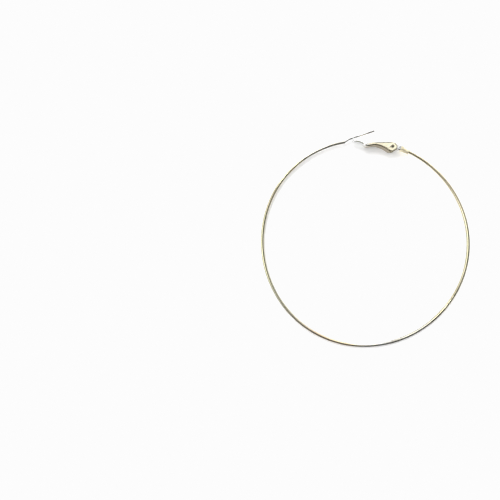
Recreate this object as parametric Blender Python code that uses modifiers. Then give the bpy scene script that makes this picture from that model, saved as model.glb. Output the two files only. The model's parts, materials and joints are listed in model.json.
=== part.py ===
"""A large thin hoop earring of gold-toned wire with a lever clasp, lying on its side.

Blender 4.5, metres, +Z up. The hoop and its clasp are drawn flat, in the plane of the hoop,
with the hoop's middle as the origin, and the whole is then laid down as it would rest:
on the lowest point of its wire and on the side of its clasp, which is wider than the wire.
The world's origin is the middle of the ground under it.
"""
import math

import bmesh
import bpy
from mathutils import Matrix, Quaternion, Vector

MM = 0.001
DEG = math.radians(1)

# The hoop is one round wire, bent by hand, so its radius wanders a little round the circle
HOOP_RADIUS = 39.05 * MM
OVAL_BOW = 0.36 * MM
OVAL_ANGLE = -38 * DEG
LOBE_BOW = 0.23 * MM
LOBE_ANGLE = 2.5 * DEG
WIRE_DIAMETER = 1.2 * MM
WIRE_FRONT_ANGLE = 101.5 * DEG
WIRE_STEP = 3 * DEG

# The ear post is a thinner wire soldered to the hoop's front end, with a slight knee near its foot
POST_DIAMETER = 0.8 * MM
POST_FOOT_LENGTH = 2.0 * MM
POST_FOOT_LIFT = 22 * DEG
POST_LENGTH = 12.3 * MM
POST_LIFT = 7.2 * DEG
POST_SHOULDER = 0.25 * MM

# The bracket is a barrel crimped on the hoop's back end, with two arms that hold the hinge pin
BARREL_ANGLE = 67 * DEG
BARREL_LENGTH = 3.4 * MM
BARREL_DIAMETER = 2.1 * MM
CRIMP_GAP = 0.1 * MM
WIRE_TO_BARREL_END = 0.5 * MM
PIVOT_REACH = 4.9 * MM
PIVOT_DROP = 1.1 * MM
ARM_RADIUS = 1.15 * MM
ARM_SHEET = 0.4 * MM
ARM_FOOT_HEIGHT = 1.5 * MM
ARM_FOOT_OVERLAP = 1.0 * MM
FLOOR_SHEET = 0.35 * MM
FLOOR_TO_PIVOT = 2.5 * MM

# The pin is a plain rivet, a little shorter than the clasp is wide
PIN_DIAMETER = 0.9 * MM
PIN_CLEARANCE = 0.05 * MM
PIN_RECESS = 0.15 * MM
PIN_BEVEL = 0.12 * MM

# The lever is pressed from sheet: a web bent in an S, two cheeks at the hinge, a forked tip
LEVER_WIDTH = 3.8 * MM
LEVER_SHEET = 0.45 * MM
CHEEK_SHEET = 0.4 * MM
CHEEK_SIDE_CLEARANCE = 0.2 * MM
EAR_RADIUS = 1.7 * MM
CHEEK_SLOPE = 14 * DEG
CHEEK_NOSE_RADIUS = 0.8 * MM
CHEEK_OVERHANG = 0.06 * MM
HEEL_TURN = 30 * DEG
WEB_INSET = 0.1 * MM
STRIP_WIDTH = 3.1 * MM
FORK_WIDTH = 2.7 * MM
GRIP_DISTANCE = 3.4 * MM
FORK_CLEARANCE = 0.12 * MM
FORK_MOUTH = 0.45 * MM
PRONG_RISE = 1.1 * MM
FLANGE_DROP = 1.5 * MM
FLANGE_BEND = 0.5 * MM

# Line of the lever's web from the hinge to the foot of its flange: how far along the lever
# and how far in towards the middle of the hoop, both as shares of the lever's length
WEB_LINE_SHARES = (
    (0.030, 0.124),
    (0.090, 0.103),
    (0.150, 0.080),
    (0.250, 0.057),
    (0.340, 0.048),
    (0.420, 0.053),
    (0.500, 0.078),
    (0.560, 0.108),
    (0.620, 0.126),
    (0.675, 0.110),
    (0.735, 0.082),
    (0.810, 0.068),
    (0.880, 0.071),
)
CHEEK_LENGTH_SHARE = 0.66
STRIP_NARROWS_SHARE = 0.62
STRIP_NARROWING_SHARE = 0.06

ROUND_SIDES = 24
SIDES = (("upper", 1), ("lower", -1))
CUT_THROUGH = 0.5 * MM
HINGE = Vector((0.0, 0.0, 0.0))


def empty_the_scene():
    for item in list(bpy.data.objects):
        bpy.data.objects.remove(item, do_unlink=True)


def new_collection(name):
    collection = bpy.data.collections.new(name)
    bpy.context.scene.collection.children.link(collection)
    return collection


def metal(name, colour, roughness):
    """A polished metal with its own Principled BSDF."""
    material = bpy.data.materials.new(name)
    material.use_nodes = True
    shader = material.node_tree.nodes["Principled BSDF"]
    shader.inputs["Base Color"].default_value = (*colour, 1.0)
    shader.inputs["Metallic"].default_value = 1.0
    shader.inputs["Roughness"].default_value = roughness
    return material


def polar(radius, angle):
    return Vector((radius * math.cos(angle), radius * math.sin(angle), 0.0))


def wire_point(angle):
    """Centre of the hoop's wire at an angle round the hoop."""
    oval = OVAL_BOW * math.cos(2 * (angle - OVAL_ANGLE))
    lobes = LOBE_BOW * math.cos(3 * (angle - LOBE_ANGLE))
    return polar(HOOP_RADIUS + oval + lobes, angle)


def smooth_line(points, steps):
    """Points along a Catmull-Rom curve through the given points."""
    padded = [2 * points[0] - points[1], *points, 2 * points[-1] - points[-2]]
    line = []
    for before, start, end, after in zip(padded, padded[1:], padded[2:], padded[3:]):
        for step in range(steps):
            t = step / steps
            line.append(0.5 * (2 * start + (end - before) * t
                               + (2 * before - 5 * start + 4 * end - after) * t ** 2
                               + (3 * start - before - 3 * end + after) * t ** 3))
    line.append(points[-1])
    return line


def rounded_corner(before, corner, after, radius, steps):
    """Points of the arc that rounds a corner of a flat line."""
    to_before = (before - corner).normalized()
    to_after = (after - corner).normalized()
    half = to_before.angle(to_after) / 2
    middle = corner + (to_before + to_after).normalized() * radius / math.sin(half)
    start = corner + to_before * radius / math.tan(half) - middle
    end = corner + to_after * radius / math.tan(half) - middle
    spokes = [start.slerp(end, step / steps).normalized() for step in range(steps + 1)]
    return [middle + spoke * radius for spoke in spokes]


def offset_line(line, distance):
    """The line shifted sideways in its plane, to its left for a positive distance."""
    shifted = []
    for index, point in enumerate(line):
        ahead = line[min(index + 1, len(line) - 1)]
        behind = line[max(index - 1, 0)]
        along = (ahead - behind).normalized()
        shifted.append(point + Vector((-along.y, along.x, 0.0)) * distance)
    return shifted


def arc(centre, radius, start, end, steps):
    """Points on a circle from one angle to another."""
    return [centre + polar(radius, start + (end - start) * step / steps) for step in range(steps + 1)]


def tangent_angle(centre, radius, point, side):
    """Angle on a circle where the straight line from a point touches it."""
    away = point - centre
    return math.atan2(away.y, away.x) + side * math.acos(radius / away.length)


def as_mesh(curve_object):
    """The curve object as a welded mesh object in the same place."""
    graph = bpy.context.evaluated_depsgraph_get()
    mesh = bpy.data.meshes.new_from_object(curve_object.evaluated_get(graph))
    weld = bmesh.new()
    weld.from_mesh(mesh)
    bmesh.ops.remove_doubles(weld, verts=weld.verts, dist=1e-7)
    bmesh.ops.recalc_face_normals(weld, faces=weld.faces)
    weld.to_mesh(mesh)
    weld.free()
    name = curve_object.name
    matrix = curve_object.matrix_world.copy()
    collection = curve_object.users_collection[0]
    bpy.data.objects.remove(curve_object, do_unlink=True)
    item = bpy.data.objects.new(name, mesh)
    item.matrix_world = matrix
    collection.objects.link(item)
    return item


def plate(name, outline, thickness, middle_height, collection):
    """A flat plate of a closed outline, parallel to the plane of the hoop."""
    curve = bpy.data.curves.new(name, "CURVE")
    curve.dimensions = "2D"
    curve.fill_mode = "BOTH"
    curve.extrude = thickness / 2
    spline = curve.splines.new("POLY")
    spline.points.add(len(outline) - 1)
    for point, place in zip(spline.points, outline):
        point.co = (place.x, place.y, 0.0, 1.0)
    spline.use_cyclic_u = True
    item = bpy.data.objects.new(name, curve)
    collection.objects.link(item)
    item.location.z = middle_height
    bpy.context.view_layer.update()
    return as_mesh(item)


def cylinder(name, radius, length, matrix, collection):
    """A closed cylinder whose axis is the matrix's Z axis."""
    mesh = bpy.data.meshes.new(name)
    shape = bmesh.new()
    bmesh.ops.create_cone(shape, cap_ends=True, segments=ROUND_SIDES, radius1=radius, radius2=radius,
                          depth=length)
    shape.to_mesh(mesh)
    shape.free()
    item = bpy.data.objects.new(name, mesh)
    item.matrix_world = matrix
    collection.objects.link(item)
    return item


def combine(item, other, operation):
    """Adds a Boolean modifier, and keeps the other shape as a hidden guide."""
    boolean = item.modifiers.new(other.name, "BOOLEAN")
    boolean.object = other
    boolean.operation = operation
    boolean.solver = "EXACT"
    other.hide_render = True
    other.display_type = "WIRE"


def shade_round(item):
    item.data.shade_smooth()
    item.data.set_sharp_from_angle(angle=35 * DEG)


def post_line():
    """The ear post's centre line: its foot on the wire's end, its knee and its tip."""
    foot = wire_point(WIRE_FRONT_ANGLE)
    back = wire_point(WIRE_FRONT_ANGLE + WIRE_STEP)
    heading = math.atan2(foot.y - back.y, foot.x - back.x)
    knee = foot + polar(POST_FOOT_LENGTH, heading + POST_FOOT_LIFT)
    tip = knee + polar(POST_LENGTH - POST_FOOT_LENGTH, heading + POST_LIFT)
    return foot, knee, tip


def grip_point():
    """The place on the post that the lever's fork straddles, and the post's direction there."""
    _, knee, tip = post_line()
    heading = (tip - knee).normalized()
    return knee + heading * (GRIP_DISTANCE - POST_FOOT_LENGTH), heading


def barrel_matrix():
    """The middle of the barrel, X along the wire to the hinge and Y in to the hoop's middle."""
    return Matrix.Translation(wire_point(BARREL_ANGLE)) @ Matrix.Rotation(BARREL_ANGLE + 90 * DEG, 4, "Z")


def pivot_point():
    return barrel_matrix() @ Vector((PIVOT_REACH, PIVOT_DROP, 0.0))


def lever_matrix():
    """The hinge's middle, X along the closed lever to the post and Y in to the hoop's middle."""
    grip, _ = grip_point()
    pivot = pivot_point()
    turn = math.atan2(grip.y - pivot.y, grip.x - pivot.x)
    return Matrix.Translation(pivot) @ Matrix.Rotation(turn, 4, "Z")


def lever_length():
    grip, _ = grip_point()
    return (grip - pivot_point()).length


def build_hoop_wire(collection):
    """The hoop and the ear post, soldered into one: a round line that steps down at the post."""
    wire_radius = WIRE_DIAMETER / 2
    post_share = POST_DIAMETER / WIRE_DIAMETER
    back_end = 360 * DEG + BARREL_ANGLE + (BARREL_LENGTH / 2 - WIRE_TO_BARREL_END) / HOOP_RADIUS
    turns = round((back_end - WIRE_FRONT_ANGLE) / WIRE_STEP)
    stops = [back_end + (WIRE_FRONT_ANGLE - back_end) * turn / turns for turn in range(turns + 1)]
    line = [(wire_point(angle), 1.0) for angle in stops]
    foot, knee, tip = post_line()
    start = (knee - foot).normalized()
    end = (tip - knee).normalized()
    line.append((foot + start * POST_SHOULDER * 0.5, 0.5 * (1 + post_share)))
    line.append((foot + start * POST_SHOULDER, post_share))
    line.extend((point, post_share) for point in rounded_corner(foot, knee, tip, POST_FOOT_LENGTH, 4))
    line.append((tip - end * POST_DIAMETER * 0.5, post_share))
    line.append((tip - end * POST_DIAMETER * 0.2, post_share * 0.8))
    line.append((tip, post_share * 0.4))

    curve = bpy.data.curves.new("hoop_wire", "CURVE")
    curve.dimensions = "3D"
    curve.bevel_depth = wire_radius
    curve.bevel_resolution = 4
    curve.use_fill_caps = True
    spline = curve.splines.new("POLY")
    spline.points.add(len(line) - 1)
    for point, (place, share) in zip(spline.points, line):
        point.co = (*place, 1.0)
        point.radius = share
    spline.use_smooth = True
    item = bpy.data.objects.new("hoop_wire", curve)
    collection.objects.link(item)
    curve.materials.append(metal("champagne_gold_wire", (0.78, 0.70, 0.48), 0.16))
    return item


def build_bracket(collection, guides):
    """The crimped barrel, the two arms and the floor that joins them next to the barrel."""
    along = Matrix.Rotation(90 * DEG, 4, "Y")
    bracket = cylinder("clasp_bracket", BARREL_DIAMETER / 2, BARREL_LENGTH, Matrix.Identity(4), collection)
    bracket.data.transform(along)

    pivot = Vector((PIVOT_REACH, PIVOT_DROP, 0.0))
    foot_x = BARREL_LENGTH / 2 - ARM_FOOT_OVERLAP
    outer_foot = Vector((foot_x, -ARM_FOOT_HEIGHT / 2, 0.0))
    inner_foot = Vector((foot_x, ARM_FOOT_HEIGHT / 2, 0.0))
    outer_angle = tangent_angle(pivot, ARM_RADIUS, outer_foot, 1)
    inner_angle = tangent_angle(pivot, ARM_RADIUS, inner_foot, -1)
    sweep = (inner_angle - outer_angle) % (360 * DEG)
    round_end = arc(pivot, ARM_RADIUS, outer_angle, outer_angle + sweep, ROUND_SIDES)
    outline = [outer_foot, *round_end, inner_foot]
    arm_height = LEVER_WIDTH / 2 - CHEEK_SHEET - CHEEK_SIDE_CLEARANCE - ARM_SHEET / 2
    for name, side in SIDES:
        arm = plate(f"bracket_arm_{name}", outline, ARM_SHEET, side * arm_height, guides)
        combine(bracket, arm, "UNION")

    inner_touch = round_end[-1]
    slope = (inner_touch - inner_foot).normalized()
    reach = (inner_touch - inner_foot).length - math.sqrt(FLOOR_TO_PIVOT ** 2 - ARM_RADIUS ** 2)
    inward = Vector((-slope.y, slope.x, 0.0))
    skin = inward * FLOOR_SHEET * 0.1
    depth = inward * FLOOR_SHEET
    floor_line = [inner_foot - skin, inner_foot + slope * reach - skin,
                  inner_foot + slope * reach - depth, inner_foot - depth]
    floor = plate("bracket_floor", floor_line, 2 * arm_height, 0.0, guides)
    combine(bracket, floor, "UNION")

    bore_radius = WIRE_DIAMETER / 2 + CRIMP_GAP
    bore = cylinder("bracket_bore", bore_radius, BARREL_LENGTH + 2 * CUT_THROUGH, along, guides)
    combine(bracket, bore, "DIFFERENCE")
    hole_radius = PIN_DIAMETER / 2 + PIN_CLEARANCE
    pin_hole = cylinder("bracket_pin_hole", hole_radius, LEVER_WIDTH, Matrix.Translation(pivot), guides)
    combine(bracket, pin_hole, "DIFFERENCE")
    bracket.data.materials.append(metal("clasp_bracket_steel", (0.80, 0.77, 0.70), 0.2))
    shade_round(bracket)
    return bracket


def web_line():
    """The lever's web and flange as one flat line from the hinge end to the tips of the prongs."""
    length = lever_length()
    to_lever = lever_matrix().inverted()
    grip, heading = grip_point()
    grip = to_lever @ grip
    heading = to_lever.to_3x3() @ heading
    rise = Vector((-heading.y, heading.x, 0.0))
    if rise.y > 0:
        rise = -rise
    foot = grip - rise * FLANGE_DROP
    top = grip + rise * PRONG_RISE
    stations = [Vector((along * length, inward * length, 0.0)) for along, inward in WEB_LINE_SHARES]
    line = smooth_line([*stations, foot], 4)
    bend = rounded_corner(stations[-1], foot, top, FLANGE_BEND, 4)
    kept = [point for point in line if point.x < bend[0].x]
    return kept + bend + [grip, top], grip, rise


def build_web(line, collection):
    """An open strip along the web's line, wide at the cheeks and narrow at the fork."""
    length = lever_length()
    shape = bmesh.new()
    bmesh.ops.create_grid(shape, x_segments=len(line) - 1, y_segments=1, size=1.0)
    wide = LEVER_WIDTH - 2 * WEB_INSET
    edges = {side: sorted((v for v in shape.verts if v.co.y * side > 0), key=lambda v: v.co.x)
             for _, side in SIDES}
    for side, edge in edges.items():
        for vertex, place in zip(edge, line):
            beyond = max(place.x / length - STRIP_NARROWS_SHARE, 0.0)
            narrowing = min(beyond / STRIP_NARROWING_SHARE, 1.0)
            taper = min(beyond / (1 - STRIP_NARROWS_SHARE), 1.0)
            strip = STRIP_WIDTH + (FORK_WIDTH - STRIP_WIDTH) * taper
            width = wide + (strip - wide) * narrowing
            vertex.co = (place.x, place.y, side * width / 2)
    mesh = bpy.data.meshes.new("clasp_lever")
    shape.to_mesh(mesh)
    shape.free()
    lever = bpy.data.objects.new("clasp_lever", mesh)
    collection.objects.link(lever)
    sheet = lever.modifiers.new("sheet", "SOLIDIFY")
    sheet.thickness = LEVER_SHEET
    sheet.offset = 0.0
    sheet.use_even_offset = True
    return lever


def cheek_outline(line):
    """Side view of one cheek: a round ear at the hinge, a straight outer edge, the web's own line."""
    length = lever_length()
    end = CHEEK_LENGTH_SHARE * length
    bottom = [p for p in offset_line(line, LEVER_SHEET / 2 + CHEEK_OVERHANG) if p.x < end]
    touch = -90 * DEG + CHEEK_SLOPE
    shoulder = polar(EAR_RADIUS, touch)
    corner = shoulder + polar(end - shoulder.x, CHEEK_SLOPE) / math.cos(CHEEK_SLOPE)
    nose = rounded_corner(shoulder, corner, bottom[-1], CHEEK_NOSE_RADIUS, 4)
    heel = math.atan2(bottom[0].y, bottom[0].x)
    ear = arc(HINGE, EAR_RADIUS, heel + HEEL_TURN, 360 * DEG + touch, ROUND_SIDES)
    return [*ear, *nose, *reversed(bottom)]


def fork_notch(grip, rise, guides):
    """A V that narrows to a round bottom just wider than the post, cut through the flange."""
    radius = POST_DIAMETER / 2 + FORK_CLEARANCE
    top = PRONG_RISE + CUT_THROUGH
    mouth = radius + FORK_MOUTH
    outline = arc(HINGE, radius, 60 * DEG, 300 * DEG, 12)
    outline += [Vector((top, -mouth, 0.0)), Vector((top, mouth, 0.0))]
    notch = plate("fork_notch", outline, 4 * LEVER_SHEET, 0.0, guides)
    sideways = Vector((0.0, 0.0, 1.0))
    turn = Matrix((rise, sideways, rise.cross(sideways))).transposed().to_4x4()
    notch.matrix_world = Matrix.Translation(grip) @ turn
    return notch


def build_lever(collection, guides):
    """The lever about its hinge: web, cheeks, pin holes and the fork's notch."""
    line, grip, rise = web_line()
    lever = build_web(line, collection)
    outline = cheek_outline(line)
    cheek_height = (LEVER_WIDTH - CHEEK_SHEET) / 2
    for name, side in SIDES:
        cheek = plate(f"lever_cheek_{name}", outline, CHEEK_SHEET, side * cheek_height, guides)
        combine(lever, cheek, "UNION")
    combine(lever, fork_notch(grip, rise, guides), "DIFFERENCE")
    hole_radius = PIN_DIAMETER / 2 + PIN_CLEARANCE
    hole_length = LEVER_WIDTH + 2 * CUT_THROUGH
    pin_hole = cylinder("lever_pin_hole", hole_radius, hole_length, Matrix.Identity(4), guides)
    combine(lever, pin_hole, "DIFFERENCE")
    lever.data.materials.append(metal("clasp_lever_plate", (0.84, 0.80, 0.66), 0.14))
    shade_round(lever)
    return lever


def build_pin(collection):
    length = LEVER_WIDTH - 2 * PIN_RECESS
    pin = cylinder("hinge_pin", PIN_DIAMETER / 2, length, Matrix.Identity(4), collection)
    bevel = pin.modifiers.new("rounded_ends", "BEVEL")
    bevel.width = PIN_BEVEL
    bevel.segments = 2
    bevel.limit_method = "ANGLE"
    pin.data.materials.append(metal("hinge_pin_steel", (0.72, 0.70, 0.66), 0.25))
    shade_round(pin)
    return pin


def place_under(parent, matrix, items):
    """Hangs the items, drawn about their own origin, on an empty at the matrix."""
    parent.matrix_local = matrix
    for item in items:
        item.parent = parent


def world_points(item):
    graph = bpy.context.evaluated_depsgraph_get()
    evaluated = item.evaluated_get(graph)
    mesh = evaluated.to_mesh()
    points = [evaluated.matrix_world @ vertex.co for vertex in mesh.vertices]
    evaluated.to_mesh_clear()
    return points


def lay_down(resting, wire, lever, items):
    """Tilts the flat drawing until the wire and the clasp's side both touch the ground."""
    bpy.context.view_layer.update()
    clasp_side = [point for point in world_points(lever) if point.z < -LEVER_WIDTH / 2 + 1e-6]
    heel = min(clasp_side, key=lambda point: point.length)
    uphill = Vector((heel.x, heel.y, 0.0)).normalized()
    nearest = min(point.dot(uphill) for point in clasp_side)
    lowest = min(point.dot(uphill) for point in world_points(wire) if point.z < -WIRE_DIAMETER / 2 * 0.999)
    tilt = math.asin((LEVER_WIDTH - WIRE_DIAMETER) / 2 / (nearest - lowest))
    resting.rotation_mode = "QUATERNION"
    resting.rotation_quaternion = Quaternion((uphill.y, -uphill.x, 0.0), tilt)
    bpy.context.view_layer.update()
    points = [point for item in items for point in world_points(item)]
    low = Vector([min(point[axis] for point in points) for axis in range(3)])
    high = Vector([max(point[axis] for point in points) for axis in range(3)])
    resting.location = (-(low.x + high.x) / 2, -(low.y + high.y) / 2, -low.z)
    bpy.context.view_layer.update()


def new_empty(name, parent, collection):
    item = bpy.data.objects.new(name, None)
    collection.objects.link(item)
    item.parent = parent
    return item


def main():
    empty_the_scene()
    earring = new_collection("hoop_earring")
    bracket_guides = new_collection("bracket_guides")
    lever_guides = new_collection("lever_guides")
    resting = new_empty("resting_frame", None, earring)
    barrel = new_empty("barrel_frame", resting, earring)
    hinge = new_empty("lever_hinge", resting, earring)

    wire = build_hoop_wire(earring)
    wire.parent = resting
    bracket = build_bracket(earring, bracket_guides)
    lever = build_lever(earring, lever_guides)
    pin = build_pin(earring)

    place_under(barrel, barrel_matrix(), [bracket, *bracket_guides.objects])
    place_under(hinge, lever_matrix(), [lever, pin, *lever_guides.objects])
    lay_down(resting, wire, lever, (wire, bracket, lever, pin))


main()
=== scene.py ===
"""Fine model of a large thin hoop earring with a lever clasp, laid out as an add-on.

Each piece of the earring has an operator of its own, and so has the stage it lies on.
The hoop is drawn flat about its own middle, each piece of the clasp about its own axis,
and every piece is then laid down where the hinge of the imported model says.
Lengths are in metres and +Z is up.
"""
import json
import math
from collections import namedtuple

import bpy
from mathutils import Matrix, Vector


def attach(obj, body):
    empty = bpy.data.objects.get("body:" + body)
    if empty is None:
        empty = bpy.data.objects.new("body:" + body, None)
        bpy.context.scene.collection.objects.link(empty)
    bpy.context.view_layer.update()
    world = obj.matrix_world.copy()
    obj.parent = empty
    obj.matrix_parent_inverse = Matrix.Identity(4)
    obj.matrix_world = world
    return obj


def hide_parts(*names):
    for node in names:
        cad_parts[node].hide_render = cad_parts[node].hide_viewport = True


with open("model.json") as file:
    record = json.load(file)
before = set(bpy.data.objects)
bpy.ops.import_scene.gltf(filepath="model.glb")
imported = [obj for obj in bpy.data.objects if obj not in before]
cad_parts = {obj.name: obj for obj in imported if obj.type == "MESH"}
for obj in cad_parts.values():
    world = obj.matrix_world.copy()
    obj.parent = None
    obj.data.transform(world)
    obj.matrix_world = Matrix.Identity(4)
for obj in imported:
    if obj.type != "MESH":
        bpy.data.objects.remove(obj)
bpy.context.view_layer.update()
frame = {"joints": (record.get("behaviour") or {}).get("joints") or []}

bl_info = {
    "name": "Hoop earring with lever clasp",
    "version": (1, 0, 0),
    "blender": (4, 5, 0),
    "location": "View3D > Sidebar > Earring",
    "description": "Models a thin gold-toned hoop earring, its lever clasp and its stage",
    "category": "Object",
}

HINGE_JOINT = frame["joints"][0]

MM = 0.001
DEG = math.radians(1)

# Line of the lever's web from the hinge to the foot of its flange: how far along the lever
# and how far in towards the middle of the hoop, both as shares of the lever's length
WEB_LINE_SHARES = (
    (0.030, 0.124), (0.090, 0.103), (0.150, 0.080), (0.250, 0.057), (0.340, 0.048),
    (0.420, 0.053), (0.500, 0.078), (0.560, 0.108), (0.620, 0.126), (0.675, 0.110),
    (0.735, 0.082), (0.810, 0.068), (0.880, 0.071),
)

# Rings drawn along the wire and its post. The wire's back end and the post's tip: how far out or
# back, in radii and diameters, and how narrow. The solder: how far along, how slim, how turned
WIRE_END_RINGS = ((0.175, 0.92), (0.25, 0.75))
POST_TIP_RINGS = ((0.45, 1.0), (0.28, 0.93), (0.14, 0.78), (0.05, 0.58), (0.0, 0.36))
SOLDER_RINGS = ((0.14, 0.08, 0.2), (0.3, 0.4, 0.5), (0.46, 0.75, 0.8), (0.68, 0.94, 0.95),
                (1.0, 1.0, 1.0))

# How finely the pieces are divided, and the limits for merging and rounding
WIRE_SIDES = 32
HOOP_STEPS = 300
KNEE_STEPS = 8
BARREL_SIDES = 72
BARREL_CUTS = 25
HOLE_SIDES = 64
NOTCH_SIDES = 48
BEND_STEPS = 6
LINE_STEPS = 6
WEB_STEPS = 8
ROUND_STEPS = 40
NOSE_STEPS = 10
ROW_SPACING = 0.1 * MM
MERGE_DISTANCE = 0.001 * MM
SHARP_ANGLE = 50 * DEG
SMOOTH_ANGLE = 35 * DEG

# Stretches round the wire that take another tone. The cream stretches are painted highlights that
# brighten the wire, and the stretch at 303 degrees is painted shade that darkens it; the olive
# and tan stretches are changes in the plating, and the rubbed ones make it greyer and a little
# darker. For each: its tone, the middle of the stretch round the hoop, half its width and its
# fade, in degrees, and how fully it has changed
TONE_AND_PAINTED_LIGHT_STRETCHES = (
    ("olive", 192, 24, 14, 0.95),
    ("olive", 355, 15, 12, 0.85),
    ("tan", 249, 8, 12, 0.9),
    ("rubbed", 222, 10, 12, 0.4),
    ("rubbed", 289, 17, 12, 0.95),
    ("rubbed", 107, 13, 12, 0.85),
    ("cream", 45, 25, 15, 0.45),
    ("cream", 150, 6, 10, 0.4),
    ("cream", 334, 7, 11, 0.5),
    ("dirt_and_painted_shade", 303, 7, 17, 0.5),
)

# Where tones begin and are full along the post, from its foot
SOLDER_TONE = (1.4 * MM, 0.2 * MM)
POLISH_STARTS = (5.0 * MM, 6.4 * MM)
POLISH_ENDS = (9.8 * MM, 8.8 * MM)

# The same along the lever, as distances from the hinge or as shares of the lever's length
SILVER_SHARES = (0.42, 0.78)
SHADE_STARTS = (-0.3 * MM, 0.7 * MM)
SHADE_END_SHARES = (0.72, 0.5)
RIM_WIDTH = (0.42 * MM, 0.22 * MM)
RIM_STARTS = (0.4 * MM, 1.4 * MM)
RIM_END_SHARES = (0.52, 0.36)
STRIP_RIM_END_SHARES = (0.95, 0.9)

# Where the bracket's plating thins, as shares of the barrel's length from its middle
THIN_SHARES = (0.45, 0.62)

# Patches of noise on the metals: scale, detail, where a patch begins and where it is full, and
# its value at each
CLOUDS = (700.0, 5.0, 0.3, 0.7, 0.93, 1.05)
SMEARS = (4200.0, 3.0, 0.3, 0.75, 0.75, 1.35)
OLIVE_DRIFT = (60.0, 3.0, 0.34, 0.66, 0.0, 0.35)
WORN_EDGES = (1500.0, 4.0, 0.35, 0.6, 0.0, 1.0)
STRETCH_PATCHES = (220.0, 5.0, 0.3, 0.6, 0.6, 1.0)
WORN_SPOTS = (300.0, 4.0, 0.45, 0.7, 0.0, 0.5)
RIM_KNOTS = (800.0, 2.0, 0.4, 0.55, 0.55, 1.0)
RIVET_STAIN_AND_SHADE = (1800.0, 3.0, 0.5, 0.75, 0.0, 1.0)

WEAR_RADIUS = 0.1 * MM
WORN_ROUGHNESS = 0.12
DENT_DEPTH = 0.03 * MM
DRAWN_LINE_DEPTH = 0.012 * MM
BRUSHED_LINE_DEPTH = 0.006 * MM
RIVET_RING_DEPTH = 0.008 * MM
PAPER_DEPTH = 0.02 * MM
PAPER_DARK = (0.992, 0.990, 0.986)
PAPER_LIGHT = (1.0, 0.999, 0.997)
WHITE = (1.0, 1.0, 1.0, 1.0)

# Panels of light: the way round the earring and down from overhead in degrees, the width and
# height, and the brightness. The room's glows: the same two angles, the tightness, the brightness
PANELS = (
    ("soft_lamp", 113, 37, (1.1, 0.8), "lamp_glow"),
    ("ceiling_panel", 42, 18, (0.8, 0.8), "ceiling_glow"),
)
ROOM_GLOWS = ((188, 39, 14.0, "wall_glow"), (77, 104, 3.75, "window_glow"))
PANEL_DISTANCE = 2.4
FLOOR_SIZE = 60.0
SENSOR_WIDTH = 36.0
NEAREST_SEEN = 5 * MM

# One row of a bent sheet: the middle of its web, the direction in which its cheeks stand, the
# cheeks' free edge (None where there is none), half the flat width, and the length and angle of
# the sheet's bend on each side
Row = namedtuple("Row", "web outward edge flat bend turn")


def number(name, description, value, lowest=0.0, **settings):
    return bpy.props.FloatProperty(name=name, description=description, default=value,
                                   min=lowest, **settings)


def in_mm(name, description, value, lowest=0.0):
    return number(name, description, value * MM, lowest * MM, precision=5, unit="LENGTH",
                  subtype="DISTANCE")


def in_degrees(name, description, value):
    return number(name, description, value * DEG, -360 * DEG, unit="ROTATION", subtype="ANGLE")


def as_share(name, description, value):
    return number(name, description, value, max=1.0, subtype="FACTOR")


def as_colour(name, description, value):
    return bpy.props.FloatVectorProperty(name=name, description=description, default=value,
                                         min=0.0, max=1.0, size=3, subtype="COLOR")


class HoopSizes(bpy.types.PropertyGroup):
    radius: in_mm("Radius", "From the hoop's middle to the middle of its wire", 39.05)
    oval_bow: in_mm("Oval bow", "How far the hoop is pulled oval", 0.36)
    oval_angle: in_degrees("Oval angle", "Where round the hoop it is widest", -38)
    lobe_bow: in_mm("Lobe bow", "How far the hoop leans to three rounded corners", 0.23)
    lobe_angle: in_degrees("Lobe angle", "Where round the hoop the first corner lies", 2.5)
    wire_diameter: in_mm("Wire diameter", "Thickness of the hoop's wire", 1.2)
    front_angle: in_degrees("Front end", "Where round the hoop the wire meets the post", 101.5)
    post_diameter: in_mm("Post diameter", "Thickness of the ear post", 0.8)
    post_foot: in_mm("Post foot", "From the wire's end to the knee of the post", 2.0)
    post_foot_lift: in_degrees("Post foot lift", "How far the post's foot turns out", 22)
    post_length: in_mm("Post length", "From the wire's end to the post's tip", 12.3)
    post_lift: in_degrees("Post lift", "How far the post turns out past its knee", 7.2)
    solder_length: in_mm("Solder length", "How far the solder runs down on the post", 0.5)


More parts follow.
